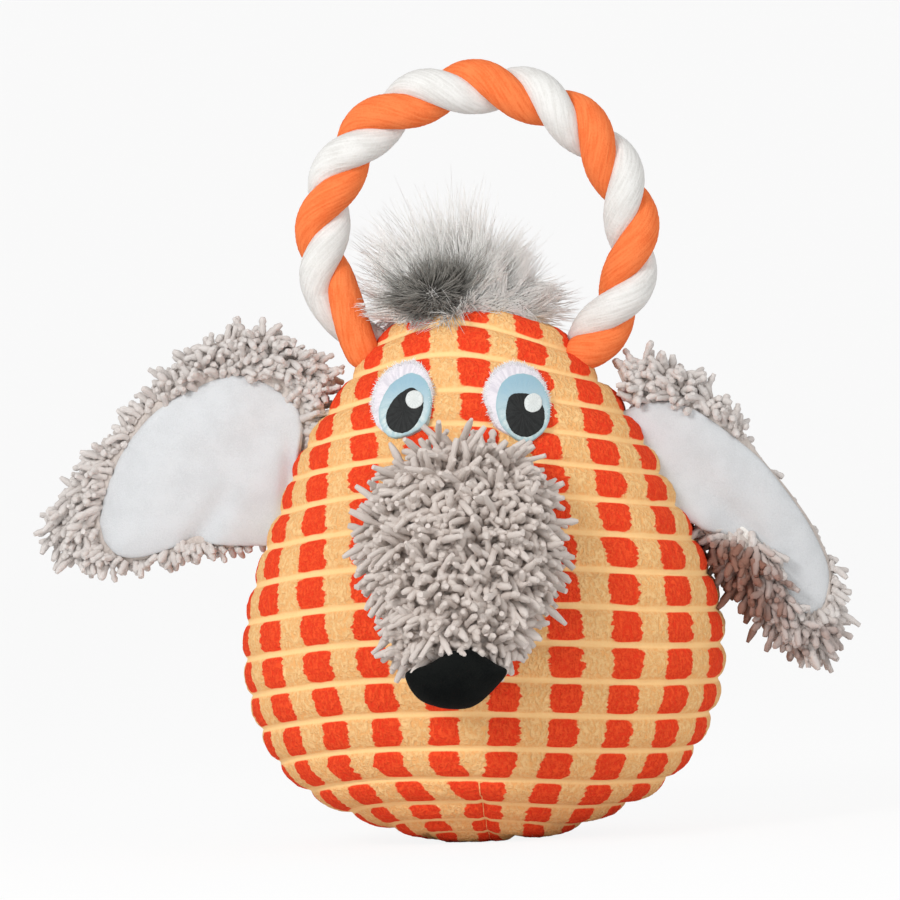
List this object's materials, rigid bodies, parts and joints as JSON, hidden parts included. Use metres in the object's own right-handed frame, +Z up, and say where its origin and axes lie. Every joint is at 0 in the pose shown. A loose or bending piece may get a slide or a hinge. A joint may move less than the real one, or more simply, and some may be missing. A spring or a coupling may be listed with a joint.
{
  "type": "plush dog toy",
  "caption": "Stuffed plush toy shaped like a dog's head and body, with chenille snout and ears, a squeaker inside and a twisted rope loop for tugging and carrying.",
  "frame": {"origin": "middle of the flat patch under the body that the toy stands on", "axes": "+Z up, +Y towards the back, so the face looks along -Y; +X is the viewer's right and the toy's own left"},
  "size_m": [0.2778, 0.1737, 0.2712],
  "materials": {
    "cover_plush": "matte",
    "fibre_fill": "matte",
    "squeaker_vinyl": "satin",
    "reed_plastic": "gloss",
    "grey_chenille": "matte",
    "black_plush": "matte",
    "white_thread": "satin",
    "blue_thread": "satin",
    "black_thread": "satin",
    "white_satin": "satin",
    "grey_fur": "matte",
    "cotton_rope": "matte"
  },
  "bodies": {
    "body": {"front_body_panel": "cover_plush", "back_body_panel": "cover_plush", "body_stuffing": "fibre_fill", "squeaker_bladder": "squeaker_vinyl", "squeaker_reed_housing": "reed_plastic", "squeaker_reed": "reed_plastic", "left_eye_patch": "white_thread", "left_eye_iris": "blue_thread", "left_eye_pupil": "black_thread", "left_eye_highlight": "white_thread", "right_eye_patch": "white_thread", "right_eye_iris": "blue_thread", "right_eye_pupil": "black_thread", "right_eye_highlight": "white_thread", "tuft_backing": "grey_fur", "tuft_pile": "grey_fur", "left_rope_end": "cotton_rope", "right_rope_end": "cotton_rope"},
    "snout": {"snout_cover": "grey_chenille", "snout_stuffing": "fibre_fill", "nose_cover": "black_plush"},
    "left_ear": {"left_ear_back": "grey_chenille", "left_ear_padding": "fibre_fill", "left_ear_lining": "white_satin"},
    "right_ear": {"right_ear_back": "grey_chenille", "right_ear_padding": "fibre_fill", "right_ear_lining": "white_satin"},
    "handle": {"rope_handle": "cotton_rope"}
  },
  "joints": [
    {"name": "snout_tilt", "type": "hinge", "parent": "body", "child": "snout", "pos_m": [0, -0.04387, 0.107], "axis": [1, 0, 0], "range_deg": [-6, 6], "stiffness_Nm_per_rad": 0.4},
    {"name": "left_ear_swing", "type": "hinge", "parent": "body", "child": "left_ear", "pos_m": [-0.07723, 0.006, 0.112], "axis": [0.4924, 0, 0.8704], "range_deg": [-60, 75], "stiffness_Nm_per_rad": 0.015},
    {"name": "right_ear_swing", "type": "hinge", "parent": "body", "child": "right_ear", "pos_m": [0.07723, 0.006, 0.112], "axis": [0.4924, 0, -0.8704], "range_deg": [-60, 75], "stiffness_Nm_per_rad": 0.015},
    {"name": "handle_swing", "type": "hinge", "parent": "body", "child": "handle", "pos_m": [0.0015, 0.006, 0.1715], "axis": [0.9976, 0, -0.0698], "range_deg": [-80, 80], "stiffness_Nm_per_rad": 0.1}
  ]
}
